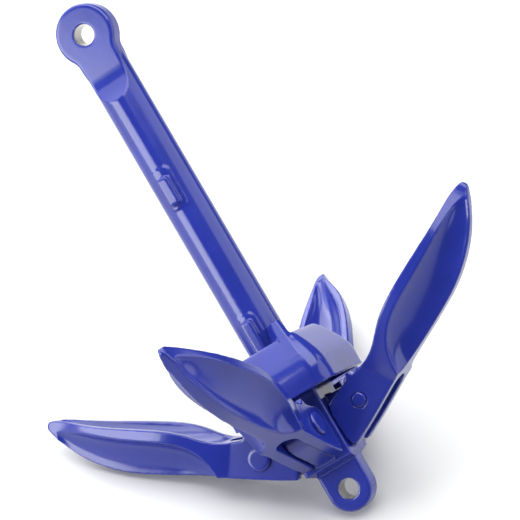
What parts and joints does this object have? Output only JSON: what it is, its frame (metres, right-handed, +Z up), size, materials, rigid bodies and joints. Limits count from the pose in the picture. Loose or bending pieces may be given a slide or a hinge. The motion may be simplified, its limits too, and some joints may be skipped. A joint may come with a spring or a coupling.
{
  "type": "folding grapnel anchor",
  "caption": "Folding grapnel anchor with hinged hollow-backed flukes, a square sliding locking collar on a round shank, and a flat eye at each end.",
  "frame": {"origin": "centre of the anchor's footprint as it lies on level ground, at ground height", "axes": "+Z up; X along the shank's run over the ground, with the shank rising from the crown at +X to the shackle eye at -X; Y across"},
  "size_m": [0.2492, 0.2076, 0.2231],
  "materials": {
    "shank_coating": "gloss",
    "collar_coating": "gloss",
    "fluke_coating": "gloss",
    "rivet_coating": "gloss"
  },
  "bodies": {
    "shank": {"shank": "shank_coating"},
    "collar": {"locking_collar": "collar_coating"},
    "fluke_right": {"fluke_right": "fluke_coating", "pivot_pin_right": "rivet_coating"},
    "fluke_left": {"fluke_left": "fluke_coating", "pivot_pin_left": "rivet_coating"},
    "fluke_front": {"fluke_front": "fluke_coating", "pivot_pin_front": "rivet_coating"},
    "fluke_back": {"fluke_back": "fluke_coating", "pivot_pin_back": "rivet_coating"}
  },
  "joints": [
    {"name": "collar_slide", "type": "slide", "parent": "shank", "child": "collar", "axis": [-0.7499, 0, 0.6616], "range_m": [0, 0.17]},
    {"name": "fluke_right_fold", "type": "hinge", "parent": "shank", "child": "fluke_right", "pos_m": [0.09743, 0.02409, 0.05713], "axis": [0.4678, -0.7071, 0.5302], "range_deg": [0, 61.71]},
    {"name": "fluke_left_fold", "type": "hinge", "parent": "shank", "child": "fluke_left", "pos_m": [0.066, -0.02342, 0.0215], "axis": [-0.4678, 0.7071, -0.5302], "range_deg": [0, 58.21]},
    {"name": "fluke_front_fold", "type": "hinge", "parent": "shank", "child": "fluke_front", "pos_m": [0.09743, -0.02342, 0.05713], "axis": [-0.4678, -0.7071, -0.5302], "range_deg": [0, 62.51]},
    {"name": "fluke_back_fold", "type": "hinge", "parent": "shank", "child": "fluke_back", "pos_m": [0.066, 0.02409, 0.0215], "axis": [0.4678, 0.7071, 0.5302], "range_deg": [0, 58.21]}
  ],
  "couplings": [
    {"joint": "fluke_right_fold", "follows": "collar_slide", "rad_per_m": 6.3345},
    {"joint": "fluke_left_fold", "follows": "collar_slide", "rad_per_m": 5.9752},
    {"joint": "fluke_front_fold", "follows": "collar_slide", "rad_per_m": 6.4166},
    {"joint": "fluke_back_fold", "follows": "collar_slide", "rad_per_m": 5.9752}
  ]
}
